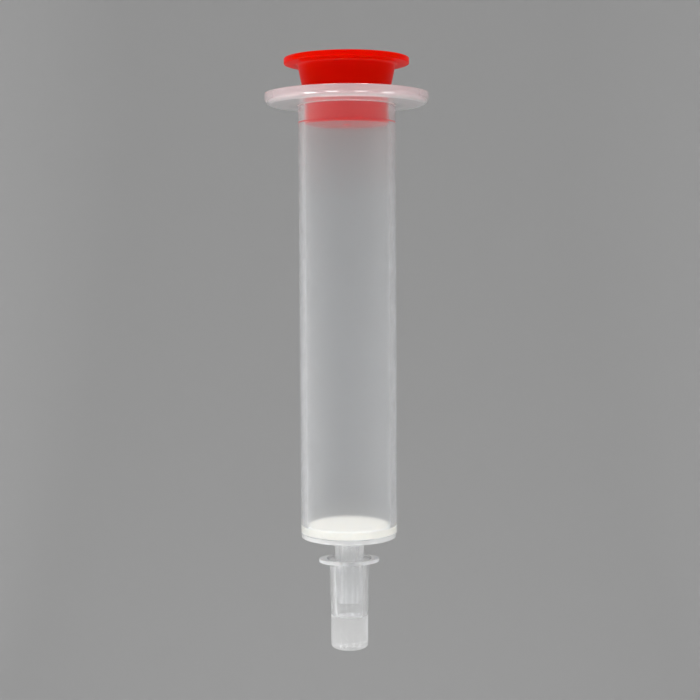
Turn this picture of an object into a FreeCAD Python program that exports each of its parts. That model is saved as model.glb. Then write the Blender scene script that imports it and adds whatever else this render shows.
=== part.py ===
import FreeCAD, Part
import os
import Sketcher

# Empty chromatography column with its frit, stopper and tip cap. All sizes are in millimetres.
# The origin is the centre of the flange's underside. +Z runs up the axis, towards the stopper.

# Each driving dimension: its name, its value and what it measures.
SIZES = (
    ("bore_dia", 12.64, "inside diameter of the barrel"),
    ("barrel_wall", 0.965, "side wall of the barrel"),
    ("barrel_length", 64.9, "flange underside to the outside of the floor"),
    ("barrel_foot_chamfer", 0.25, "chamfer at the outer edge of the floor"),
    ("flange_dia", 24.5, "flange, over its edge"),
    ("flange_thick", 1.72, "flange, top to underside"),
    ("flange_under_round", 1.0, "large round at the flange's lower edge"),
    ("flange_top_chamfer", 0.15, "small chamfer at the flange's top edge"),
    ("mouth_depth", 0.45, "lead-in cone at the barrel's mouth"),
    ("cone_slope", 0.213, "growth of the stopper's radius for each mm of height"),
    ("floor_thick", 0.73, "floor that the frit lies on"),
    ("drain_count", 8, "radial drain channels in the floor"),
    ("drain_width", 0.8, "drain channel, across"),
    ("drain_depth", 0.3, "drain channel, depth into the floor"),
    ("drain_margin", 0.6, "floor left between a channel's end and the wall"),
    ("funnel_dia", 3.4, "funnel at the floor, where the channels meet"),
    ("funnel_depth", 2.4, "funnel, down to the outlet bore"),
    ("outlet_dia", 2.0, "bore through the nozzle"),
    ("nozzle_length", 10.0, "outside of the floor to the nozzle's tip"),
    ("nozzle_tip_dia", 3.97, "outside of the nozzle at its tip"),
    ("nozzle_taper", 0.06, "growth of the nozzle's diameter for each mm up from the tip"),
    ("nozzle_root_chamfer", 0.35, "small cone between the nozzle and the floor"),
    ("nozzle_tip_chamfer", 0.2, "chamfer at the nozzle's tip"),
    ("frit_thick", 1.25, "porous disc"),
    ("frit_gap", 0.01, "frit to bore, on the radius"),
    ("stopper_stand", 5.15, "stopper above the flange's top"),
    ("rim_dia", 18.62, "stopper's rim, over its edge"),
    ("rim_thick", 0.84, "stopper's rim, top to underside"),
    ("rim_chamfer", 0.12, "chamfers at the rim's edge"),
    ("rim_fillet", 0.4, "fillet under the rim, at the cone"),
    ("plug_depth", 4.6, "flange's top to the plug's bottom"),
    ("plug_gap", 0.1, "plug to bore, on the radius"),
    ("seat_gap", 0.02, "stopper's cone to the mouth's cone, on the radius"),
    ("rib_gap", 0.02, "sealing rib to bore, on the radius"),
    ("rib_height", 0.4, "sealing rib, along the plug"),
    ("plug_lead", 0.15, "chamfer at the plug's bottom edge"),
    ("plug_gate_dia", 1.2, "gate recess in the plug's bottom"),
    ("plug_gate_depth", 0.25, "gate recess in the plug's bottom, depth"),
    ("stopper_wall", 1.0, "side wall of the hollow stopper"),
    ("stopper_floor", 0.9, "floor of the hollow stopper"),
    ("recess_chamfer", 0.45, "small cone at the bottom of the stopper's recess"),
    ("cap_standoff", 3.34, "outside of the barrel's floor to the tip cap's mouth"),
    ("cap_length", 13.78, "tip cap, mouth to bottom"),
    ("cap_gap", 0.02, "nozzle to tip cap, on the radius"),
    ("cap_wall", 0.87, "wall of the tip cap"),
    ("cap_lead", 0.15, "lead-in chamfer at the tip cap's mouth"),
    ("cap_taper_length", 7.7, "tapered part of the cap's outside, from its mouth"),
    ("cavity_depth", 8.91, "tip cap's cavity, from its mouth"),
    ("cap_foot_round", 0.65, "round at the tip cap's bottom edge"),
    ("cap_gate_dia", 1.3, "gate recess in the tip cap's bottom"),
    ("cap_gate_depth", 0.25, "gate recess in the tip cap's bottom, depth"),
    ("ear_span", 9.17, "oval grip flange, tip to tip"),
    ("ear_depth", 6.46, "oval grip flange, front to back"),
    ("ear_thick", 0.55, "oval grip flange, top to underside"),
    ("ear_chamfer", 0.1, "chamfers at the grip flange's edge"),
    ("ear_turn", 5.0, "turn of the tip cap about the axis, in degrees"),
)

# Expressions that several sketches share. Heights are those of the barrel.
BORE = "sizes.bore_dia / 2"
OUTSIDE = "(sizes.bore_dia / 2 + sizes.barrel_wall)"
FLANGE = "sizes.flange_dia / 2"
UNDER = "-sizes.barrel_length"
SEAT = "(sizes.floor_thick - sizes.barrel_length)"
TIP = "(-sizes.barrel_length - sizes.nozzle_length)"
TIP_RADIUS = "sizes.nozzle_tip_dia / 2"
ROOT_RADIUS = "(sizes.nozzle_tip_dia + sizes.nozzle_taper * sizes.nozzle_length) / 2"
PLUG = "(sizes.bore_dia / 2 - sizes.plug_gap)"

TOLERANCE = 1e-4
FULL_TURN = 360


def make_sheet(document):
    """Write the driving dimensions to a sheet, one named cell for each."""
    sheet = document.addObject("Spreadsheet::Sheet", "sizes")
    for row, (name, value, meaning) in enumerate(SIZES, start=1):
        sheet.set(f"A{row}", name)
        sheet.set(f"B{row}", str(value))
        sheet.set(f"C{row}", meaning)
        sheet.setAlias(f"B{row}", name)
    document.recompute()


def add_sketch(body, name, role, height=None):
    """Add a sketch on one of the body's own origin planes, raised by height where it is given."""
    plane = next(item for item in body.Origin.OriginFeatures if item.Role == role)
    sketch = body.newObject("Sketcher::SketchObject", name)
    sketch.AttachmentSupport = [(plane, "")]
    sketch.MapMode = "FlatFace"
    if height is not None:
        sketch.setExpression("AttachmentOffset.Base.z", height)
    return sketch


def tie(sketch, constraint, expression):
    """Add a dimension to the sketch and bind it to an expression."""
    index = sketch.addConstraint(constraint)
    sketch.setExpression(f"Constraints[{index}]", expression)


def place_corner(sketch, line, across, up):
    """Hold the start of a line at the given distances from the sketch's origin."""
    x_value = sketch.evalExpression(across)
    y_value = sketch.evalExpression(up)
    if across == "0":
        sketch.addConstraint(Sketcher.Constraint("PointOnObject", line, 1, -2))
    else:
        tie(sketch, Sketcher.Constraint("DistanceX", -1, 1, line, 1, x_value), across)
    if up == "0":
        sketch.addConstraint(Sketcher.Constraint("PointOnObject", line, 1, -1))
    else:
        tie(sketch, Sketcher.Constraint("DistanceY", -1, 1, line, 1, y_value), up)


def draw_outline(sketch, corners):
    """Draw a closed outline of straight lines through corners given as pairs of expressions."""
    spots = []
    for across, up in corners:
        spots.append(FreeCAD.Vector(sketch.evalExpression(across), sketch.evalExpression(up), 0))
    for start, end in zip(spots, spots[1:] + spots[:1]):
        sketch.addGeometry(Part.LineSegment(start, end), False)
    count = len(corners)
    for line in range(count):
        sketch.addConstraint(Sketcher.Constraint("Coincident", line, 2, (line + 1) % count, 1))
    for line, (across, up) in enumerate(corners):
        place_corner(sketch, line, across, up)


def draw_circle(sketch, diameter):
    """Draw a circle about the sketch's origin."""
    radius = sketch.evalExpression(diameter) / 2
    sketch.addGeometry(Part.Circle(FreeCAD.Vector(), FreeCAD.Vector(0, 0, 1), radius), False)
    sketch.addConstraint(Sketcher.Constraint("Coincident", 0, 3, -1, 1))
    tie(sketch, Sketcher.Constraint("Diameter", 0, 2 * radius), diameter)


def revolve(body, kind, name, corners):
    """Turn an outline of radii and heights about the Z axis, to add (Revolution) or cut (Groove)."""
    sketch = add_sketch(body, f"{name}_section", "XZ_Plane")
    draw_outline(sketch, corners)
    feature = body.newObject(f"PartDesign::{kind}", name)
    feature.Profile = sketch
    feature.ReferenceAxis = (sketch, ["V_Axis"])
    feature.Angle = FULL_TURN
    body.Document.recompute()
    return feature


def ring_edges(feature, radius, height):
    """Name the circular edges about the Z axis that have this radius and height."""
    wanted_radius = feature.evalExpression(radius)
    wanted_height = feature.evalExpression(height)
    names = []
    for index, edge in enumerate(feature.Shape.Edges, start=1):
        curve = edge.Curve
        if not isinstance(curve, Part.Circle):
            continue
        same_radius = abs(curve.Radius - wanted_radius) < TOLERANCE
        same_height = abs(curve.Center.z - wanted_height) < TOLERANCE
        on_axis = abs(curve.Axis.z) > 1 - TOLERANCE
        if same_radius and same_height and on_axis:
            names.append(f"Edge{index}")
    if not names:
        raise RuntimeError(f"{feature.Name} has no edge of radius {radius} at {height}")
    return names


def ease_edges(body, kind, name, edges, size):
    """Fillet or chamfer the named edges of the body's last feature."""
    base = body.Tip
    feature = body.newObject(f"PartDesign::{kind}", name)
    feature.Base = (base, edges)
    feature.setExpression({"Fillet": "Radius", "Chamfer": "Size"}[kind], size)
    body.Document.recompute()


def require_less(before, after):
    """Stop if a cut has taken nothing away."""
    if after.Shape.Volume >= before.Shape.Volume - TOLERANCE:
        raise RuntimeError(f"{after.Name} cuts nothing")


def cut_drains(body):
    """Cut the radial channels that carry liquid under the frit to the funnel."""
    base = body.Tip
    sketch = add_sketch(body, "drain_outline", "XY_Plane", SEAT)
    reach = "(sizes.bore_dia / 2 - sizes.drain_margin)"
    side = "sizes.drain_width / 2"
    draw_outline(sketch, (("0", f"-{side}"), (reach, f"-{side}"), (reach, side), ("0", side)))
    pocket = body.newObject("PartDesign::Pocket", "drain")
    pocket.Profile = sketch
    pocket.setExpression("Length", "sizes.drain_depth")
    body.Document.recompute()
    require_less(base, pocket)
    pattern = body.newObject("PartDesign::PolarPattern", "drains")
    pattern.Originals = [pocket]
    pattern.Axis = (sketch, ["N_Axis"])
    pattern.Angle = FULL_TURN
    pattern.setExpression("Occurrences", "sizes.drain_count")
    body.Tip = pattern
    body.Document.recompute()
    require_less(pocket, pattern)


def make_barrel(document):
    """Moulded tube with its flange, floor and tapered outlet nozzle, all one piece."""
    body = document.addObject("PartDesign::Body", "barrel")
    mouth = "(sizes.bore_dia / 2 + sizes.cone_slope * sizes.mouth_depth)"
    revolve(body, "Revolution", "barrel_wall_turned", (
        (mouth, "sizes.flange_thick"),
        (FLANGE, "sizes.flange_thick"),
        (FLANGE, "0"),
        (OUTSIDE, "0"),
        (OUTSIDE, UNDER),
        (ROOT_RADIUS, UNDER),
        (TIP_RADIUS, TIP),
        ("sizes.outlet_dia / 2", TIP),
        ("sizes.outlet_dia / 2", f"{SEAT} - sizes.funnel_depth"),
        ("sizes.funnel_dia / 2", SEAT),
        (BORE, SEAT),
        (BORE, "sizes.flange_thick - sizes.mouth_depth"),
    ))
    cut_drains(body)
    for kind, name, radius, height, size in (
        ("Fillet", "flange_under_edge", FLANGE, "0", "sizes.flange_under_round"),
        ("Chamfer", "flange_top_edge", FLANGE, "sizes.flange_thick", "sizes.flange_top_chamfer"),
        ("Chamfer", "barrel_foot_edge", OUTSIDE, UNDER, "sizes.barrel_foot_chamfer"),
        ("Chamfer", "nozzle_root", ROOT_RADIUS, UNDER, "sizes.nozzle_root_chamfer"),
        ("Chamfer", "nozzle_tip", TIP_RADIUS, TIP, "sizes.nozzle_tip_chamfer"),
    ):
        ease_edges(body, kind, name, ring_edges(body.Tip, radius, height), size)
    return body


def make_frit(document):
    """Porous disc that lies on the floor, flush with the bore."""
    body = document.addObject("PartDesign::Body", "frit")
    sketch = add_sketch(body, "frit_outline", "XY_Plane")
    draw_circle(sketch, "sizes.bore_dia - 2 * sizes.frit_gap")
    pad = body.newObject("PartDesign::Pad", "frit_disc")
    pad.Profile = sketch
    pad.setExpression("Length", "sizes.frit_thick")
    body.setExpression("Placement.Base.z", SEAT)
    return body


def make_stopper(document):
    """Hollow plug with a flat rim, a seating cone and a sealing rib. Height 0 is the flange's top."""
    body = document.addObject("PartDesign::Body", "stopper")
    top = "sizes.stopper_stand"
    rim_under = "(sizes.stopper_stand - sizes.rim_thick)"
    rim = "sizes.rim_dia / 2"
    bottom = "-sizes.plug_depth"
    seat_radius = "(sizes.bore_dia / 2 - sizes.seat_gap)"
    cone_under_rim = f"({seat_radius} + sizes.cone_slope * ({rim_under} + sizes.mouth_depth))"
    cone_at_top = f"({seat_radius} + sizes.cone_slope * ({top} + sizes.mouth_depth))"
    cone_end = "(-sizes.mouth_depth - (sizes.plug_gap - sizes.seat_gap) / sizes.cone_slope)"
    rib_foot = "(sizes.plug_lead - sizes.plug_depth)"
    recess = f"({PLUG} - sizes.stopper_wall)"
    recess_floor = "(sizes.stopper_floor - sizes.plug_depth)"
    revolve(body, "Revolution", "stopper_turned", (
        (f"{cone_at_top} - sizes.stopper_wall", top),
        (rim, top),
        (rim, rim_under),
        (cone_under_rim, rim_under),
        (PLUG, cone_end),
        (PLUG, f"{rib_foot} + sizes.rib_height"),
        (f"{BORE} - sizes.rib_gap", f"{rib_foot} + sizes.rib_height / 2"),
        (PLUG, rib_foot),
        (f"{PLUG} - sizes.plug_lead", bottom),
        ("sizes.plug_gate_dia / 2", bottom),
        ("sizes.plug_gate_dia / 2", "(sizes.plug_gate_depth - sizes.plug_depth)"),
        ("0", "(sizes.plug_gate_depth - sizes.plug_depth)"),
        ("0", recess_floor),
        (f"{recess} - sizes.recess_chamfer", recess_floor),
        (recess, f"{recess_floor} + sizes.recess_chamfer"),
        (recess, cone_end),
    ))
    edges = ring_edges(body.Tip, rim, top) + ring_edges(body.Tip, rim, rim_under)
    ease_edges(body, "Chamfer", "rim_edges", edges, "sizes.rim_chamfer")
    under_rim = ring_edges(body.Tip, cone_under_rim, rim_under)
    ease_edges(body, "Fillet", "rim_fillet", under_rim, "sizes.rim_fillet")
    body.setExpression("Placement.Base.z", "sizes.flange_thick")
    return body


def add_ears(body):
    """Oval grip flange at the tip cap's mouth, with its two edges chamfered."""
    sketch = add_sketch(body, "ear_outline", "XY_Plane")
    half_span = "sizes.ear_span / 2"
    half_depth = "sizes.ear_depth / 2"
    span = sketch.evalExpression(half_span)
    depth = sketch.evalExpression(half_depth)
    far_tip = FreeCAD.Vector(span, 0, 0)
    side_tip = FreeCAD.Vector(0, depth, 0)
    sketch.addGeometry(Part.Ellipse(far_tip, side_tip, FreeCAD.Vector()), False)
    sketch.exposeInternalGeometry(0)
    sketch.addConstraint(Sketcher.Constraint("Coincident", 0, 3, -1, 1))
    sketch.addConstraint(Sketcher.Constraint("PointOnObject", 1, 1, -1))
    tie(sketch, Sketcher.Constraint("Distance", 1, 2 * span), "sizes.ear_span")
    tie(sketch, Sketcher.Constraint("Distance", 2, 2 * depth), "sizes.ear_depth")
    pad = body.newObject("PartDesign::Pad", "ears")
    pad.Profile = sketch
    pad.Reversed = True
    pad.setExpression("Length", "sizes.ear_thick")
    body.Document.recompute()
    ovals = []
    for index, edge in enumerate(pad.Shape.Edges, start=1):
        if edge.BoundBox.ZLength < TOLERANCE:
            ovals.append(f"Edge{index}")
    ease_edges(body, "Chamfer", "ear_edges", ovals, "sizes.ear_chamfer")


def cut_gate(body):
    """Shallow gate recess in the middle of the tip cap's bottom."""
    base = body.Tip
    sketch = add_sketch(body, "gate_outline", "XY_Plane", "-sizes.cap_length")
    draw_circle(sketch, "sizes.cap_gate_dia")
    pocket = body.newObject("PartDesign::Pocket", "gate_recess")
    pocket.Profile = sketch
    pocket.Reversed = True
    pocket.setExpression("Length", "sizes.cap_gate_depth")
    body.Document.recompute()
    require_less(base, pocket)


def nozzle_radius(depth):
    """Give the nozzle's radius at a depth below the tip cap's mouth, as an expression."""
    above_tip = f"(sizes.nozzle_length - sizes.cap_standoff - {depth})"
    return f"(sizes.nozzle_tip_dia + sizes.nozzle_taper * {above_tip}) / 2"


def make_tip_cap(document):
    """Blind cap with a tapered cavity that fits the nozzle. Height 0 is its mouth."""
    body = document.addObject("PartDesign::Body", "tip_cap")
    add_ears(body)
    taper_end = "sizes.cap_taper_length"
    skin = "sizes.cap_gap + sizes.cap_wall"
    foot_radius = f"({nozzle_radius(taper_end)} + {skin})"
    revolve(body, "Revolution", "cap_outside", (
        ("0", "0"),
        (f"{nozzle_radius('0')} + {skin}", "0"),
        (foot_radius, f"-{taper_end}"),
        (foot_radius, "-sizes.cap_length"),
        ("0", "-sizes.cap_length"),
    ))
    solid = body.Tip
    cavity = revolve(body, "Groove", "cavity", (
        ("0", "0"),
        (f"{nozzle_radius('0')} + sizes.cap_gap + sizes.cap_lead", "0"),
        (f"{nozzle_radius('sizes.cap_lead')} + sizes.cap_gap", "-sizes.cap_lead"),
        (f"{nozzle_radius('sizes.cavity_depth')} + sizes.cap_gap", "-sizes.cavity_depth"),
        ("0", "-sizes.cavity_depth"),
    ))
    require_less(solid, cavity)
    foot_edge = ring_edges(body.Tip, foot_radius, "-sizes.cap_length")
    ease_edges(body, "Fillet", "cap_foot_edge", foot_edge, "sizes.cap_foot_round")
    cut_gate(body)
    body.Placement = FreeCAD.Placement(FreeCAD.Vector(), FreeCAD.Rotation(FreeCAD.Vector(0, 0, 1), 1))
    body.setExpression("Placement.Rotation.Angle", "sizes.ear_turn")
    body.setExpression("Placement.Base.z", "-sizes.barrel_length - sizes.cap_standoff")
    return body


def check_document(document):
    """Stop at the first object that failed to build."""
    for item in document.Objects:
        if "Invalid" in item.State or "Error" in item.State:
            raise RuntimeError(f"{item.Name} failed: {item.State}")


def write_parts(bodies):
    """Check each solid and write it under its own name."""
    os.makedirs("parts", exist_ok=True)
    for body in bodies:
        shape = body.Shape
        if shape.isNull() or not shape.isValid() or len(shape.Solids) != 1:
            raise RuntimeError(f"{body.Label} isn't one valid solid")
    for body in bodies:
        body.Shape.exportStep(f"parts/{body.Label}.step")
        box = body.Shape.BoundBox
        print(f"{body.Label}: {body.Shape.Volume:.1f} mm3, z {box.ZMin:.2f} to {box.ZMax:.2f}")


def main():
    document = FreeCAD.newDocument("column")
    make_sheet(document)
    makers = (make_barrel, make_frit, make_stopper, make_tip_cap)
    bodies = [make(document) for make in makers]
    for body in bodies:
        body.Label = body.Name
    document.recompute()
    check_document(document)
    write_parts(bodies)


main()
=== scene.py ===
"""Looks of an empty chromatography column: barrel, porous disc, stopper, tip cap and the stage."""

import math

import bmesh
import bpy
from bpy.props import FloatProperty, FloatVectorProperty, IntProperty, PointerProperty
from mathutils import Matrix, Vector


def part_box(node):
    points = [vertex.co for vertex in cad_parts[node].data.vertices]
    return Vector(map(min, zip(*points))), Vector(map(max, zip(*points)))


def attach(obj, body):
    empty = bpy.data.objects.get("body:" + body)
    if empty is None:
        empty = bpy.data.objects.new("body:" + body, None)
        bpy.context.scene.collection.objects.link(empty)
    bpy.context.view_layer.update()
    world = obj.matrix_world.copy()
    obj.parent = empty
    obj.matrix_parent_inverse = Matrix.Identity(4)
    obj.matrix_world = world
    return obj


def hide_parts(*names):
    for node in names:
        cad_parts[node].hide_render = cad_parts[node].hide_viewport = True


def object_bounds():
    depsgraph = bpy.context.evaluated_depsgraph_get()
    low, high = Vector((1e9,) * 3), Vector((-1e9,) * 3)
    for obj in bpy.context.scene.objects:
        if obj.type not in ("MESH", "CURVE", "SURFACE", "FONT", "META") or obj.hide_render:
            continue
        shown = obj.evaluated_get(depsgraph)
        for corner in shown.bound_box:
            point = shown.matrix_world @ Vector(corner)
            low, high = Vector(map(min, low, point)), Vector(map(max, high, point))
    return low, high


bl_info = {
    "name": "Chromatography column",
    "version": (1, 0, 0),
    "blender": (4, 5, 0),
    "location": "3D View > Sidebar > Column",
    "description": "Builds the smooth, finished pieces of a small column around its packed frame",
    "category": "Add Mesh",
}

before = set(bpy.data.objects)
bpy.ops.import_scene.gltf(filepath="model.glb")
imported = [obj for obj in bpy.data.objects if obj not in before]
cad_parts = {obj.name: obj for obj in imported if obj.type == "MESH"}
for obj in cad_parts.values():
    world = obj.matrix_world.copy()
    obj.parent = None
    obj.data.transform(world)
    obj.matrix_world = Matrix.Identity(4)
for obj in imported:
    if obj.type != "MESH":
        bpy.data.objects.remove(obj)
CAD_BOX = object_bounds()
MM = 0.001
MERGE_REACH = 0.0005 * MM
POLYPROPYLENE_IOR = 1.49
POLISH_BLUR = 0.05

# Numbers of the colour sockets on a Mix node, whose names it uses more than once
MIX_FIRST = 6
MIX_SECOND = 7
MIX_RESULT = 2


def low(node):
    """Height of a node's lowest point."""
    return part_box(node)[0].z


def high(node):
    """Height of a node's highest point."""
    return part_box(node)[1].z


def length(label, meaning, millimetres):
    """Length property whose default is given in millimetres."""
    return FloatProperty(name=label, description=meaning, default=millimetres * MM, precision=5,
                         unit="LENGTH")


def share(label, meaning, value):
    """Property from 0 to 1."""
    return FloatProperty(name=label, description=meaning, default=value, min=0.0, max=1.0, subtype="FACTOR")


def amount(label, meaning, value):
    """Plain number, never below zero."""
    return FloatProperty(name=label, description=meaning, default=value, min=0.0)


def angle(label, meaning, degrees):
    """Angle property whose default is given in degrees."""
    return FloatProperty(name=label, description=meaning, default=math.radians(degrees), subtype="ANGLE")


def colour(label, meaning, value):
    """Colour property, linear red, green and blue."""
    return FloatVectorProperty(name=label, description=meaning, default=value, size=3, min=0, max=1,
                               subtype="COLOR")


class ColumnSizes(bpy.types.PropertyGroup):
    """Sizes of the four pieces. Their heights come from the frame."""

    segments: IntProperty(name="Segments", description="Faces round a turned piece", default=256, min=32)
    edge_break: length("Edge break", "Smallest round, on edges that look sharp", 0.05)
    edge_round: length("Edge round", "Round of the moulded edges", 0.12)
    bore: length("Bore", "Inside radius of the barrel", 6.32)
    barrel_wall: length("Barrel wall", "Side wall of the barrel", 0.965)
    barrel_length: length("Barrel", "Flange underside to the outside of the floor", 64.9)
    flange: length("Flange", "Radius of the flange", 12.25)
    flange_round: length("Flange round", "Large round at the flange's lower edge", 1.0)
    foot_round: length("Foot round", "Round at the outside of the floor", 0.25)
    nozzle_root: length("Nozzle root", "Fillet where the nozzle meets the floor", 0.35)
    mouth_depth: length("Mouth", "Lead-in cone at the barrel's mouth", 0.45)
    cone_slope: amount("Cone slope", "Growth of the stopper's radius for its height", 0.213)
    nozzle_tip: length("Nozzle tip", "Outside radius of the nozzle at its tip", 1.985)
    nozzle_slope: amount("Nozzle slope", "Growth of the nozzle's radius for its height", 0.03)
    outlet: length("Outlet", "Radius of the bore through the nozzle", 1.0)
    funnel: length("Funnel", "Radius of the funnel at the floor", 1.7)
    funnel_depth: length("Funnel depth", "Funnel, down to the outlet", 2.4)
    drain_count: IntProperty(name="Drains", description="Radial channels in the floor", default=8, min=3)
    drain_width: length("Drain width", "Channel in the floor, across", 0.8)
    drain_depth: length("Drain depth", "Channel in the floor, depth", 0.3)
    drain_margin: length("Drain margin", "Floor left between a channel and the wall", 0.6)
    contact: length("Contact", "Press of the disc and the sealing rib into the wall, which they wet", 0.015)
    disc_round: length("Disc round", "Worn upper edge of the porous disc", 0.25)
    rim: length("Rim", "Radius of the stopper's rim", 9.31)
    rim_thick: length("Rim thickness", "Stopper's rim, top to underside", 0.84)
    rim_fillet: length("Rim fillet", "Fillet between the rim and the cone under it", 0.4)
    plug_gap: length("Plug gap", "Plug to bore, on the radius", 0.1)
    seat_gap: length("Seat gap", "Stopper's cone to the mouth, on the radius", 0.02)
    rib_height: length("Rib", "Sealing rib, along the plug", 0.4)
    rib_crest: share("Rib crest", "Flat crest of the sealing rib, as a share of its height", 0.3)
    rib_foot: length("Rib foot", "Sealing rib above the plug's bottom", 0.15)
    stopper_wall: length("Stopper wall", "Side wall of the hollow stopper", 1.0)
    stopper_floor: length("Stopper floor", "Floor of the hollow stopper", 0.9)
    recess_chamfer: length("Recess cone", "Small cone at the bottom of the recess", 0.45)
    plug_gate: length("Plug gate", "Radius of the gate recess in the plug's bottom", 0.6)
    cap_wall: length("Cap wall", "Wall of the tip cap", 0.87)
    cap_gap: length("Cap gap", "Nozzle to tip cap, on the radius", 0.02)
    cap_lead: length("Cap lead-in", "Small cone at the tip cap's mouth", 0.15)
    cap_taper: length("Cap taper", "Tapered part of the cap's outside", 7.7)
    cap_foot_round: length("Cap foot round", "Round at the cap's bottom", 0.65)
    cavity_depth: length("Cavity", "Tip cap's cavity, from its mouth", 8.91)
    cap_gate: length("Cap gate", "Radius of the gate recess in the cap's bottom", 0.65)
    gate_depth: length("Gate depth", "Both gate recesses, depth", 0.25)
    ear_reach: length("Ear reach", "Grip flange, axis to its far tip", 4.585)
    ear_side: length("Ear side", "Grip flange, axis to its near side", 3.23)
    ear_thick: length("Ear thickness", "Grip flange, top to underside", 0.55)
    ear_turn: angle("Ear turn", "Turn of the tip cap about the axis", 5)


class ColumnFinish(bpy.types.PropertyGroup):
    """Colours and finishes of the pieces."""

    clear: colour("Clear plastic", "Natural polypropylene of the barrel and cap", (0.95, 0.955, 0.96))
    # Painted red light: the next two colours paint the stopper's red, bounced into the plastic, into the
    # barrel's colour near the mouth and into the flange
    painted_red_bounce: colour("Blush", "The barrel's plastic near the red stopper", (0.95, 0.90, 0.90))
    flange_painted_red_bounce: colour("Flange blush", "The flange's plastic round the red stopper", (1.0, 0.79, 0.8))
    # The painted red light fades in over this height below the flange, as does the lamp light passed by the
    # wall round the plug
    mouth_zone_reach: length("Blush reach", "Height below the flange at which the blush is gone", 14)
    barrel_scatter: colour("Barrel scatter", "Light scattered in the barrel's plastic", (0.86, 0.91, 1.0))
    cap_scatter: colour("Cap scatter", "Light scattered in the cap's plastic", (1.0, 0.99, 0.96))
    red: colour("Red plastic", "Stopper", (0.85, 0.006, 0.0))
    disc: colour("Porous plastic", "Disc on the floor", (0.97, 0.935, 0.86))
    barrel_cloud: amount("Barrel cloud", "Light scattered in a metre of the barrel's plastic", 85)
    cap_cloud: amount("Cap cloud", "Light scattered in a metre of the cap's plastic", 220)
    change: length("Change", "Height over which one finish turns into the next", 0.6)
    quick_change: length("Quick change", "The same, at the disc's seat and under the flange", 0.03)
    wall_milk: share("Wall milk", "Milky share of the barrel's thin wall", 0.012)
    flange_milk: share("Flange milk", "Milky share of the flange", 0.38)
    underside_milk: share("Underside milk", "Milky share of the flange's underside", 0.75)
    floor_milk: share("Floor milk", "Milky share of the floor", 0.72)
    nozzle_milk: share("Nozzle milk", "Milky share of the nozzle", 0.24)
    cap_milk: share("Cap milk", "Milky share of the cap", 0.065)
    ear_milk: share("Ear milk", "Milky share of the cap's grip flange", 0.9)
    wall_blur: share("Wall blur", "Roughness of the barrel's thin wall", 0.15)
    thick_blur: share("Thick blur", "Roughness of the flange, floor and nozzle", 0.14)
    cap_blur: share("Cap blur", "Roughness of the cap", 0.15)
    mouth_pass: share("Mouth pass", "Lamp light passed on by the wall round the plug", 0.76)
    flange_pass: share("Flange pass", "Lamp light passed on by each surface of the flange", 0.5)
    floor_pass: share("Floor pass", "Lamp light passed on by each surface of the floor", 0.9)
    cap_pass: share("Cap pass", "Lamp light passed on by each surface of the cap", 0.9)
    gloss: amount("Gloss", "Refraction index of the polish on the thick parts", 2.2)


class ColumnStage(bpy.types.PropertyGroup):
    """Camera, floor and lights."""

    lens: FloatProperty(name="Lens", description="Focal length for a sensor 36 mm wide", default=69.876)
    camera_place: FloatVectorProperty(name="Camera", description="Place of the camera",
                                      default=(0.000287, -0.20434, -0.02268), subtype="TRANSLATION")
    camera_tilt: angle("Tilt", "Camera's fall below the horizon", 3.875)
    camera_roll: angle("Roll", "Camera's turn about its own view", -0.33)
    floor_drop: length("Floor drop", "Floor below the tip cap", 260)
    floor_radius: length("Floor", "Radius of the floor and its wall", 900)
    wall_height: length("Wall", "Height of the wall round the floor", 1400)
    backdrop: colour("Backdrop", "Paint of the floor and wall", (0.475, 0.475, 0.475))
    low_light: amount("Low lights", "Watts of the strongest softbox below the column", 0.38)
    steep_light: amount("Steep lights", "Watts of each lamp high above the column", 1.56)
    high_light: amount("High lights", "Watts of the strongest strip above the column", 0.16)
    left_light: amount("Left wall light", "Watts on the wall at the left", 5.5)
    right_light: amount("Right wall light", "Watts on the wall at the right", 2.8)
    back_light: amount("Back wall light", "Watts on the wall behind the column", 0.52)
    air: amount("Air", "Strength of the white sky over the wall", 0.05)


def in_plane(radius, height):
    """Point of an outline, in the plane that is spun."""
    return Vector((radius, 0.0, height))


def turned(corners, step):
    """Spin a closed outline about the Z axis, with no edge of it much longer than a step.

    A corner is its radius, its height and the reach of its round.
    """
    outline = bmesh.new()
    verts = [outline.verts.new(in_plane(radius, height)) for radius, height, _ in corners]
    for start, end in zip(verts, verts[1:] + verts[:1]):
        if start.co.x > 0 or end.co.x > 0:
            outline.edges.new((start, end))
    for vert, (_, _, reach) in zip(verts, corners):
        if reach > 0:
            bmesh.ops.bevel(outline, geom=[vert], offset=reach, offset_type="OFFSET", segments=6,
                            profile=0.5, affect="VERTICES", material=-1)
    for edge in outline.edges[:]:
        cuts = int(edge.calc_length() / step)
        if cuts:
            bmesh.ops.subdivide_edges(outline, edges=[edge], cuts=cuts)
    segments = bpy.context.scene.column_sizes.segments
    bmesh.ops.spin(outline, geom=outline.verts[:] + outline.edges[:], cent=(0, 0, 0), axis=(0, 0, 1),
                   angle=math.tau, steps=segments, use_merge=True)
    bmesh.ops.remove_doubles(outline, verts=outline.verts[:], dist=MERGE_REACH)
    bmesh.ops.recalc_face_normals(outline, faces=outline.faces[:])
    return outline


def finish_piece(name, shape, node, body, material):
    """Make an object of the shape, with a material, in place of a CAD node and riding on its body."""
    mesh = bpy.data.meshes.new(name)
    shape.to_mesh(mesh)
    shape.free()
    mesh.materials.append(material)
    mesh.shade_smooth()
    mesh.set_sharp_from_angle(angle=math.radians(35))
    piece = bpy.data.objects.new(name, mesh)
    bpy.context.scene.collection.objects.link(piece)
    weighted = piece.modifiers.new("Flat faces stay flat", "WEIGHTED_NORMAL")
    weighted.keep_sharp = True
    weighted.weight = 100
    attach(piece, body)
    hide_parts(node)
    return piece


def new_material(name):
    """Empty material and its shader."""
    material = bpy.data.materials.new(name)
    material.use_nodes = True
    return material, material.node_tree.nodes["Principled BSDF"]


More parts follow.
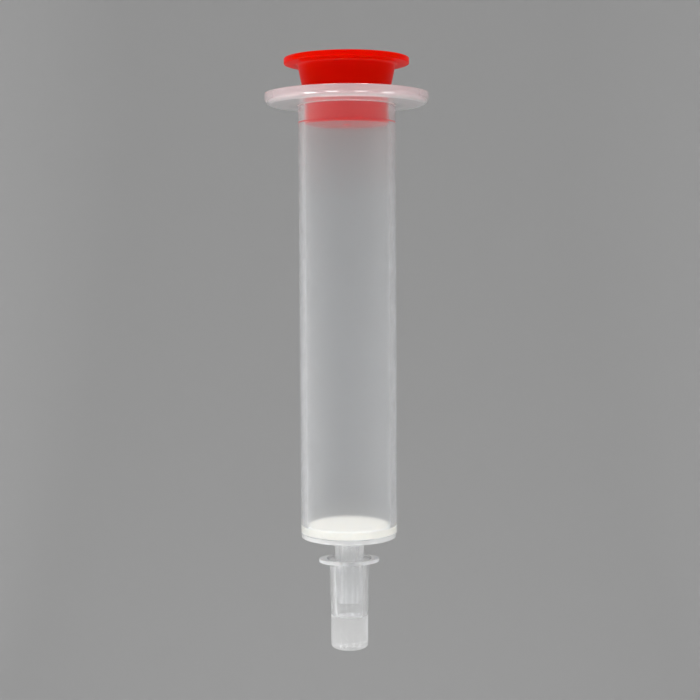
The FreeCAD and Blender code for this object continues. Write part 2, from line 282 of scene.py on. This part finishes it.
def add_node(material, kind, **inputs):
    """Add a node and set its inputs, whose names are written with underscores."""
    node = material.node_tree.nodes.new(kind)
    for name, value in inputs.items():
        node.inputs[name.replace("_", " ")].default_value = value
    return node


def link(material, output, socket):
    """Lead a node's output to a socket."""
    material.node_tree.links.new(output, socket)


def height(material):
    """Height of the shaded point, in metres."""
    place = add_node(material, "ShaderNodeTexCoord")
    axes = add_node(material, "ShaderNodeSeparateXYZ")
    link(material, place.outputs["Object"], axes.inputs["Vector"])
    return axes.outputs["Z"]


def noise_field(material, scale, stretch=(1, 1, 1), detail=3):
    """Noise on the piece's own coordinates. Scale is the number of spots in a metre."""
    place = add_node(material, "ShaderNodeTexCoord")
    mapping = add_node(material, "ShaderNodeMapping", Scale=stretch)
    field = add_node(material, "ShaderNodeTexNoise", Scale=scale, Detail=detail)
    link(material, place.outputs["Object"], mapping.inputs["Vector"])
    link(material, mapping.outputs["Vector"], field.inputs["Vector"])
    return field.outputs["Fac"]


def ramp(material, value, start, end, first, last):
    """Turn a value between start and end into one between first and last, held at both ends."""
    ranged = add_node(material, "ShaderNodeMapRange", From_Min=start, From_Max=end, To_Min=first,
                      To_Max=last)
    link(material, value, ranged.inputs["Value"])
    return ranged.outputs["Result"]


def mottled(material, scale, stretch, least, most):
    """Noise between two values."""
    return ramp(material, noise_field(material, scale, stretch), 0.3, 0.7, least, most)


def by_height(material, stops):
    """Colour that follows the height through a list of heights, from low to high, and their colours."""
    place = height(material)
    result = None
    for (start, before), (end, after) in zip(stops, stops[1:]):
        if before == after:
            continue
        mix = add_node(material, "ShaderNodeMix")
        mix.data_type = "RGBA"
        link(material, ramp(material, place, start, end, 0, 1), mix.inputs["Factor"])
        mix.inputs[MIX_FIRST].default_value = (*before, 1)
        mix.inputs[MIX_SECOND].default_value = (*after, 1)
        if result:
            link(material, result, mix.inputs[MIX_FIRST])
        result = mix.outputs[MIX_RESULT]
    return result


def grey(value):
    """Colour that stands for a plain value."""
    return (value, value, value)


def times(material, one, other):
    """Product of two values."""
    node = add_node(material, "ShaderNodeMath")
    node.operation = "MULTIPLY"
    link(material, one, node.inputs[0])
    link(material, other, node.inputs[1])
    return node.outputs["Value"]


def add_bump(material, shader, value, rise):
    """Raise the surface by a noise value, to a height in metres."""
    bump = add_node(material, "ShaderNodeBump", Strength=1.0, Distance=rise)
    link(material, value, bump.inputs["Height"])
    link(material, bump.outputs["Normal"], shader.inputs["Normal"])


def let_light_in(material, shader, passed):
    """Let a share of the lamps' light pass each surface of a clear plastic, to light what is inside."""
    rays = add_node(material, "ShaderNodeLightPath")
    passing = add_node(material, "ShaderNodeBsdfTransparent")
    mix = add_node(material, "ShaderNodeMixShader")
    link(material, passed, passing.inputs["Color"])
    link(material, rays.outputs["Is Shadow Ray"], mix.inputs[0])
    link(material, shader.outputs["BSDF"], mix.inputs[1])
    link(material, passing.outputs["BSDF"], mix.inputs[2])
    link(material, mix.outputs["Shader"], material.node_tree.nodes["Material Output"].inputs["Surface"])


def add_clear_plastic(material, shader, cloud, cloud_colour, clear, blur, passed):
    """Natural polypropylene, with faint streaks along the flow of the moulding.

    Cloud is the light scattered in a metre. The last three are outputs of nodes.
    """
    finish = bpy.context.scene.column_finish
    shader.inputs["IOR"].default_value = POLYPROPYLENE_IOR
    shader.inputs["Coat Roughness"].default_value = POLISH_BLUR
    shader.inputs["Coat IOR"].default_value = finish.gloss
    streaks = mottled(material, 350, (1, 1, 0.06), 0.994, 1.006)
    link(material, times(material, clear, streaks), shader.inputs["Transmission Weight"])
    clouds = mottled(material, 160, (1, 1, 1), 0.85, 1.15)
    link(material, times(material, blur, clouds), shader.inputs["Roughness"])
    add_bump(material, shader, noise_field(material, 900, (1, 1, 0.15)), 0.0002 * MM)
    scatter = add_node(material, "ShaderNodeVolumeScatter", Density=cloud, Color=(*cloud_colour, 1))
    link(material, scatter.outputs["Volume"], material.node_tree.nodes["Material Output"].inputs["Volume"])
    let_light_in(material, shader, passed)


def barrel_zones(material, nozzle, floor, wall, mouth, underside, flange):
    """Colour that changes from zone to zone of the barrel, from the nozzle up to the flange."""
    scene = bpy.context.scene
    foot = -scene.column_sizes.barrel_length
    seat = low("frit")
    finish = scene.column_finish
    return by_height(material, (
        (foot - 2 * finish.change, nozzle),
        (foot, floor),
        (seat - finish.quick_change, floor),
        (seat, wall),
        (-finish.mouth_zone_reach, wall),
        (-finish.quick_change, mouth),
        (0, underside),
        (finish.change, flange),
    ))


def barrel_plastic():
    """Clear in the thin wall, milky where it is thick, with the stopper's red light painted into its colour
    near the mouth and in the flange.

    The flange's underside glows with the light that comes down through the flange.
    """
    scene = bpy.context.scene
    finish = scene.column_finish
    material, shader = new_material("Natural polypropylene")
    milks = (finish.nozzle_milk, finish.floor_milk, finish.wall_milk, finish.wall_milk,
             finish.underside_milk, finish.flange_milk)
    clear = barrel_zones(material, *(grey(1 - milk) for milk in milks))
    thick, thin = grey(finish.thick_blur), grey(finish.wall_blur)
    blur = barrel_zones(material, thick, thick, thin, thin, thick, thick)
    floor, mouth, flange = grey(finish.floor_pass), grey(finish.mouth_pass), grey(finish.flange_pass)
    passed = barrel_zones(material, floor, floor, grey(1), mouth, flange, flange)
    add_clear_plastic(material, shader, finish.barrel_cloud, finish.barrel_scatter, clear, blur, passed)
    polish = barrel_zones(material, grey(0), grey(1), grey(0), grey(0), grey(1), grey(1))
    link(material, polish, shader.inputs["Coat Weight"])
    glow = barrel_zones(material, grey(0), grey(0), grey(0), grey(0), grey(1), grey(0))
    link(material, glow, shader.inputs["Subsurface Weight"])
    shader.inputs["Subsurface Radius"].default_value = (1.0, 0.97, 0.96)
    shader.inputs["Subsurface Scale"].default_value = high("barrel")
    # Painted red light: the base colour turns pink near the mouth and in the flange, in place of the
    # stopper's bounced red light
    plain, painted_red_bounce, flange_painted_red_bounce = tuple(finish.clear), tuple(finish.painted_red_bounce), tuple(finish.flange_painted_red_bounce)
    base_and_painted_red = barrel_zones(material, plain, plain, plain, painted_red_bounce, painted_red_bounce, flange_painted_red_bounce)
    link(material, base_and_painted_red, shader.inputs["Base Color"])
    return material


def distance_from_axis(material):
    """Distance of the shaded point from the column's axis, in metres."""
    place = add_node(material, "ShaderNodeTexCoord")
    flat = add_node(material, "ShaderNodeMapping", Scale=(1, 1, 0))
    reach = add_node(material, "ShaderNodeVectorMath")
    reach.operation = "LENGTH"
    link(material, place.outputs["Object"], flat.inputs["Vector"])
    link(material, flat.outputs["Vector"], reach.inputs["Vector"])
    return reach.outputs["Value"]


def cap_plastic():
    """Like the barrel's, but milky in the thin grip flange, which glows with the light from below."""
    sizes = bpy.context.scene.column_sizes
    finish = bpy.context.scene.column_finish
    body = nozzle_radius(high("tip_cap")) + sizes.cap_gap + sizes.cap_wall
    material, shader = new_material("Natural polypropylene, cap")
    ears = (body + 0.1 * MM, body + 0.4 * MM)
    clear = ramp(material, distance_from_axis(material), *ears, 1 - finish.cap_milk, 1 - finish.ear_milk)
    blur = mottled(material, 400, (1, 1, 1), finish.cap_blur * 0.9, finish.cap_blur * 1.1)
    passed = mottled(material, 400, (1, 1, 1), finish.cap_pass - 0.01, finish.cap_pass + 0.01)
    add_clear_plastic(material, shader, finish.cap_cloud, finish.cap_scatter, clear, blur, passed)
    shader.inputs["Base Color"].default_value = (*finish.clear, 1)
    glow = ramp(material, distance_from_axis(material), *ears, 0, 1)
    link(material, glow, shader.inputs["Subsurface Weight"])
    shader.inputs["Subsurface Radius"].default_value = (1.0, 0.97, 0.92)
    shader.inputs["Subsurface Scale"].default_value = sizes.ear_thick
    return material


def porous_plastic():
    """Sintered polyethylene: white, light passes it, with the grain of its fused beads."""
    finish = bpy.context.scene.column_finish
    material, shader = new_material("Porous polyethylene")
    shader.inputs["Base Color"].default_value = (*finish.disc, 1)
    shader.inputs["Subsurface Weight"].default_value = 1.0
    shader.inputs["Subsurface Radius"].default_value = (1.0, 0.95, 0.9)
    shader.inputs["Subsurface Scale"].default_value = 0.8 * MM
    link(material, mottled(material, 3000, (1, 1, 1), 0.75, 0.95), shader.inputs["Roughness"])
    add_bump(material, shader, noise_field(material, 5000), 0.03 * MM)
    return material


def red_plastic():
    """Satin red polyethylene, lit through where it is thin, polished at its end face and under its rim."""
    finish = bpy.context.scene.column_finish
    sizes = bpy.context.scene.column_sizes
    material, shader = new_material("Red polyethylene")
    shader.inputs["Base Color"].default_value = (*finish.red, 1)
    shader.inputs["Specular IOR Level"].default_value = 0.03
    shader.inputs["Subsurface Weight"].default_value = 1.0
    shader.inputs["Subsurface Radius"].default_value = (1.0, 0.05, 0.02)
    shader.inputs["Subsurface Scale"].default_value = 1.0 * MM
    shader.inputs["Coat Roughness"].default_value = 0.15
    end_face = low("stopper") + 0.02 * MM
    rim_underside = high("stopper") - sizes.rim_thick
    polish = by_height(material, (
        (end_face, grey(1)),
        (end_face + sizes.edge_round, grey(0)),
        (rim_underside - sizes.rim_fillet, grey(0)),
        (rim_underside - 0.5 * sizes.rim_fillet, grey(0.3)),
        (rim_underside, grey(0)),
    ))
    link(material, polish, shader.inputs["Coat Weight"])
    link(material, mottled(material, 500, (1, 1, 1), 0.30, 0.38), shader.inputs["Roughness"])
    add_bump(material, shader, noise_field(material, 2500), 0.003 * MM)
    return material


def cut_drains(barrel):
    """Cut the radial channels into the barrel's floor with bars that start inside the funnel."""
    sizes = bpy.context.scene.column_sizes
    seat = low("frit")
    start = sizes.funnel * 0.7
    reach = sizes.bore - sizes.drain_margin
    bars = bmesh.new()
    for index in range(sizes.drain_count):
        turn = Matrix.Rotation(math.tau * index / sizes.drain_count, 4, "Z")
        place = Matrix.Translation(((start + reach) / 2, 0, seat))
        size = Matrix.Diagonal((reach - start, sizes.drain_width, 2 * sizes.drain_depth, 1))
        bmesh.ops.create_cube(bars, size=1, matrix=turn @ place @ size)
    cutter_mesh = bpy.data.meshes.new("drain bars")
    bars.to_mesh(cutter_mesh)
    bars.free()
    cutter = bpy.data.objects.new("drain bars", cutter_mesh)
    bpy.context.scene.collection.objects.link(cutter)
    cut = barrel.modifiers.new("Drains", "BOOLEAN")
    cut.operation = "DIFFERENCE"
    cut.solver = "EXACT"
    cut.object = cutter
    barrel.modifiers.move(len(barrel.modifiers) - 1, 0)
    graph = bpy.context.evaluated_depsgraph_get()
    whole = barrel.data
    barrel.data = bpy.data.meshes.new_from_object(barrel.evaluated_get(graph))
    barrel.modifiers.remove(cut)
    bpy.data.objects.remove(cutter)
    bpy.data.meshes.remove(whole)


def nozzle_radius(height_there):
    """Outside radius of the tapered nozzle at a height."""
    sizes = bpy.context.scene.column_sizes
    return sizes.nozzle_tip + sizes.nozzle_slope * (height_there - low("barrel"))


class COLUMN_OT_barrel(bpy.types.Operator):
    """Tube with its flange, drained floor and tapered nozzle, all one clear moulding"""

    bl_idname = "column.barrel"
    bl_label = "Barrel"

    def execute(self, context):
        sizes = context.scene.column_sizes
        top = high("barrel")
        tip = low("barrel")
        seat = low("frit")
        foot = -sizes.barrel_length
        outside = sizes.bore + sizes.barrel_wall
        shape = turned((
            (sizes.bore + sizes.cone_slope * sizes.mouth_depth, top, sizes.edge_break),
            (sizes.flange, top, sizes.edge_round),
            (sizes.flange, 0, sizes.flange_round),
            (outside, 0, sizes.edge_round),
            (outside, foot, sizes.foot_round),
            (nozzle_radius(foot), foot, sizes.nozzle_root),
            (sizes.nozzle_tip, tip, 2 * sizes.edge_round),
            (sizes.outlet, tip, sizes.edge_round),
            (sizes.outlet, seat - sizes.funnel_depth, 2 * sizes.edge_round),
            (sizes.funnel, seat, sizes.edge_break),
            (sizes.bore, seat, sizes.edge_break),
            (sizes.bore, top - sizes.mouth_depth, sizes.edge_break),
        ), 2 * MM)
        barrel = finish_piece("clear_barrel", shape, "barrel", "column",
                              barrel_plastic())
        cut_drains(barrel)
        return {"FINISHED"}


class COLUMN_OT_frit(bpy.types.Operator):
    """Porous disc on the barrel's floor"""

    bl_idname = "column.frit"
    bl_label = "Porous disc"

    def execute(self, context):
        sizes = context.scene.column_sizes
        radius = sizes.bore + sizes.contact
        bottom = low("frit") - sizes.contact
        shape = turned((
            (0, bottom, 0),
            (radius, bottom, sizes.edge_break),
            (radius, high("frit"), sizes.disc_round),
            (0, high("frit"), 0),
        ), 0.15 * MM)
        finish_piece("porous_disc", shape, "frit", "column", porous_plastic())
        return {"FINISHED"}


class COLUMN_OT_stopper(bpy.types.Operator):
    """Hollow red plug with a flat rim, a seating cone and a sealing rib"""

    bl_idname = "column.stopper"
    bl_label = "Stopper"

    def execute(self, context):
        sizes = context.scene.column_sizes
        top = high("stopper")
        bottom = low("stopper")
        mouth = high("barrel") - sizes.mouth_depth
        under = top - sizes.rim_thick
        plug = sizes.bore - sizes.plug_gap
        seat = sizes.bore - sizes.seat_gap
        cone_foot = mouth - (seat - plug) / sizes.cone_slope
        rib = sizes.bore + sizes.contact
        rib_bottom = bottom + sizes.rib_foot
        rib_slant = sizes.rib_height * (1 - sizes.rib_crest) / 2
        recess = plug - sizes.stopper_wall
        recess_floor = bottom + sizes.stopper_floor
        shape = turned((
            (seat + sizes.cone_slope * (top - mouth) - sizes.stopper_wall, top, sizes.edge_round),
            (sizes.rim, top, sizes.edge_round),
            (sizes.rim, under, sizes.edge_round),
            (seat + sizes.cone_slope * (under - mouth), under, sizes.rim_fillet),
            (plug, cone_foot, sizes.edge_break),
            (plug, rib_bottom + sizes.rib_height, sizes.edge_break),
            (rib, rib_bottom + sizes.rib_height - rib_slant, 0),
            (rib, rib_bottom + rib_slant, 0),
            (plug, rib_bottom, 0),
            (plug, bottom, sizes.edge_round),
            (sizes.plug_gate, bottom, sizes.edge_break),
            (sizes.plug_gate, bottom + sizes.gate_depth, sizes.edge_break),
            (0, bottom + sizes.gate_depth, 0),
            (0, recess_floor, 0),
            (recess - sizes.recess_chamfer, recess_floor, sizes.edge_round),
            (recess, recess_floor + sizes.recess_chamfer, sizes.edge_round),
            (recess, cone_foot, sizes.edge_round),
        ), MM)
        finish_piece("red_stopper", shape, "stopper", "stopper", red_plastic())
        return {"FINISHED"}


def stretch_ears(shape, body_radius):
    """Pull the round grip flange into an oval."""
    sizes = bpy.context.scene.column_sizes
    for vert in shape.verts:
        flat = vert.co.xy
        if flat.length <= body_radius + 2 * MERGE_REACH:
            continue
        turn = math.atan2(flat.y, flat.x) - sizes.ear_turn
        across = math.hypot(sizes.ear_side * math.cos(turn), sizes.ear_reach * math.sin(turn))
        oval = sizes.ear_reach * sizes.ear_side / across
        part = (flat.length - body_radius) / (sizes.ear_reach - body_radius)
        vert.co.xy = flat.normalized() * (body_radius + part * (oval - body_radius))


class COLUMN_OT_tip_cap(bpy.types.Operator):
    """Blind cap on the nozzle, with its oval grip flange and gate recess"""

    bl_idname = "column.tip_cap"
    bl_label = "Tip cap"

    def execute(self, context):
        sizes = context.scene.column_sizes
        mouth = high("tip_cap")
        bottom = low("tip_cap")
        skin = sizes.cap_gap + sizes.cap_wall
        taper_end = mouth - sizes.cap_taper
        under_ears = mouth - sizes.ear_thick
        lead_end = mouth - sizes.cap_lead
        cavity_floor = mouth - sizes.cavity_depth
        foot = nozzle_radius(taper_end) + skin
        shape = turned((
            (nozzle_radius(mouth) + sizes.cap_gap + sizes.cap_lead, mouth, sizes.edge_break),
            (sizes.ear_reach, mouth, sizes.edge_round),
            (sizes.ear_reach, under_ears, sizes.edge_round),
            (nozzle_radius(under_ears) + skin, under_ears, sizes.edge_round),
            (foot, taper_end, 3 * sizes.edge_round),
            (foot, bottom, sizes.cap_foot_round),
            (sizes.cap_gate, bottom, sizes.edge_break),
            (sizes.cap_gate, bottom + sizes.gate_depth, sizes.edge_break),
            (0, bottom + sizes.gate_depth, 0),
            (0, cavity_floor, 0),
            (nozzle_radius(cavity_floor) + sizes.cap_gap, cavity_floor, 2 * sizes.edge_round),
            (nozzle_radius(lead_end) + sizes.cap_gap, lead_end, sizes.edge_break),
        ), MM)
        stretch_ears(shape, nozzle_radius(mouth) + skin)
        finish_piece("clear_tip_cap", shape, "tip_cap", "tip_cap", cap_plastic())
        return {"FINISHED"}


def add_softbox(name, azimuth, elevation, distance, size, power, outward=False):
    """Area light that faces the column or, if outward, the wall behind the light.

    Azimuth and elevation are in degrees. Azimuth 0 is on the camera's side, and it grows to its right.
    """
    light = bpy.data.lights.new(name, "AREA")
    light.shape = "RECTANGLE"
    light.size, light.size_y = size
    light.energy = power
    lamp = bpy.data.objects.new(name, light)
    bpy.context.scene.collection.objects.link(lamp)
    turn = math.radians(azimuth)
    rise = math.radians(elevation)
    away = Vector((math.sin(turn) * math.cos(rise), -math.cos(turn) * math.cos(rise), math.sin(rise)))
    centre = (CAD_BOX[0] + CAD_BOX[1]) / 2
    lamp.location = centre + away * distance
    lamp.rotation_euler = away.to_track_quat("-Z" if outward else "Z", "Y").to_euler()
    lamp.visible_camera = False


def add_backdrop():
    """Floor that curves up into a wall all round."""
    stage = bpy.context.scene.column_stage
    material, shader = new_material("Backdrop paint")
    shader.inputs["Base Color"].default_value = (*stage.backdrop, 1)
    shader.inputs["Roughness"].default_value = 0.9
    shader.inputs["Specular IOR Level"].default_value = 0.0
    floor = CAD_BOX[0].z - stage.floor_drop
    sweep = stage.floor_radius * 0.6
    bowl = bmesh.new()
    centre = bowl.verts.new(in_plane(0, floor))
    corner = bowl.verts.new(in_plane(stage.floor_radius, floor))
    top = bowl.verts.new(in_plane(stage.floor_radius, floor + stage.wall_height))
    bowl.edges.new((centre, corner))
    bowl.edges.new((corner, top))
    bmesh.ops.bevel(bowl, geom=[corner], offset=sweep, offset_type="OFFSET", segments=24, profile=0.5,
                    affect="VERTICES", material=-1)
    bmesh.ops.spin(bowl, geom=bowl.verts[:] + bowl.edges[:], cent=(0, 0, 0), axis=(0, 0, 1),
                   angle=math.tau, steps=128, use_merge=True)
    bmesh.ops.remove_doubles(bowl, verts=bowl.verts[:], dist=0.01 * MM)
    bmesh.ops.recalc_face_normals(bowl, faces=bowl.faces[:])
    mesh = bpy.data.meshes.new("backdrop")
    bowl.to_mesh(mesh)
    bowl.free()
    mesh.shade_smooth()
    mesh.materials.append(material)
    backdrop = bpy.data.objects.new("backdrop", mesh)
    bpy.context.scene.collection.objects.link(backdrop)


def add_lights():
    """Four low and four high softboxes before the column, two steep lamps, and light on the walls round it.

    The low ones make the four highlights on the flange's edge.
    """
    stage = bpy.context.scene.column_stage
    front = ((-58, 1.0), (-22, 0.8), (22, 0.7), (66, 0.8))
    for number, (azimuth, part) in enumerate(front, start=1):
        low_power = stage.low_light * part
        high_power = stage.high_light * part
        add_softbox(f"low light {number}", azimuth, -35, 0.45, (0.12, 0.2), low_power)
        add_softbox(f"high light {number}", azimuth, 38, 0.75, (0.12, 0.5), high_power)
    for side, azimuth in (("left", -35), ("right", 35)):
        add_softbox(f"steep light, {side}", azimuth, 62, 0.75, (0.2, 0.2), stage.steep_light)
    walls = (
        ("left", -95, stage.left_light),
        ("right", 95, stage.right_light),
        ("back", 180, stage.back_light),
    )
    for side, azimuth, power in walls:
        add_softbox(f"{side} wall light", azimuth, 0, 0.25, (0.3, 0.3), power, outward=True)
    world = bpy.data.worlds.new("Studio air")
    world.use_nodes = True
    world.node_tree.nodes["Background"].inputs["Color"].default_value = (1, 1, 1, 1)
    world.node_tree.nodes["Background"].inputs["Strength"].default_value = stage.air
    bpy.context.scene.world = world


def add_camera():
    """Camera at the photograph's place, level with the upper barrel and looking a little down."""
    scene = bpy.context.scene
    stage = scene.column_stage
    lens = bpy.data.cameras.new("camera")
    lens.lens = stage.lens
    lens.clip_start = MM
    camera = bpy.data.objects.new("camera", lens)
    camera.location = stage.camera_place
    tilt = Matrix.Rotation(math.radians(90) - stage.camera_tilt, 3, "X")
    roll = Matrix.Rotation(stage.camera_roll, 3, "Z")
    camera.rotation_euler = (tilt @ roll).to_euler()
    scene.collection.objects.link(camera)
    scene.camera = camera


class COLUMN_OT_stage(bpy.types.Operator):
    """Pale floor that curves up into a wall all round, soft lights and the camera"""

    bl_idname = "column.stage"
    bl_label = "Stage"

    def execute(self, context):
        add_backdrop()
        add_lights()
        add_camera()
        scene = context.scene
        scene.view_settings.view_transform = "Standard"
        scene.cycles.volume_bounces = 24
        scene.cycles.max_bounces = 40
        scene.cycles.transmission_bounces = 40
        scene.cycles.glossy_bounces = 16
        return {"FINISHED"}


class COLUMN_PT_panel(bpy.types.Panel):
    """Sidebar panel with the column's pieces, sizes and finishes"""

    bl_idname = "COLUMN_PT_panel"
    bl_label = "Chromatography column"
    bl_space_type = "VIEW_3D"
    bl_region_type = "UI"
    bl_category = "Column"

    def draw(self, context):
        for operator in OPERATORS:
            self.layout.operator(operator.bl_idname)
        for group in (context.scene.column_sizes, context.scene.column_finish, context.scene.column_stage):
            box = self.layout.box()
            for name in group.bl_rna.properties.keys():
                if name not in ("rna_type", "name"):
                    box.prop(group, name)


OPERATORS = (COLUMN_OT_barrel, COLUMN_OT_frit, COLUMN_OT_stopper, COLUMN_OT_tip_cap, COLUMN_OT_stage)
GROUPS = (("column_sizes", ColumnSizes), ("column_finish", ColumnFinish), ("column_stage", ColumnStage))


def register():
    """Add the properties, operators and panel to Blender."""
    for name, group in GROUPS:
        bpy.utils.register_class(group)
        setattr(bpy.types.Scene, name, PointerProperty(type=group))
    for operator in OPERATORS:
        bpy.utils.register_class(operator)
    bpy.utils.register_class(COLUMN_PT_panel)


def unregister():
    """Take them away again."""
    bpy.utils.unregister_class(COLUMN_PT_panel)
    for operator in reversed(OPERATORS):
        bpy.utils.unregister_class(operator)
    for name, group in reversed(GROUPS):
        delattr(bpy.types.Scene, name)
        bpy.utils.unregister_class(group)


def main():
    """Build the pieces and the stage."""
    register()
    bpy.ops.column.barrel()
    bpy.ops.column.frit()
    bpy.ops.column.stopper()
    bpy.ops.column.tip_cap()
    bpy.ops.column.stage()


if __name__ == "__main__":
    main()
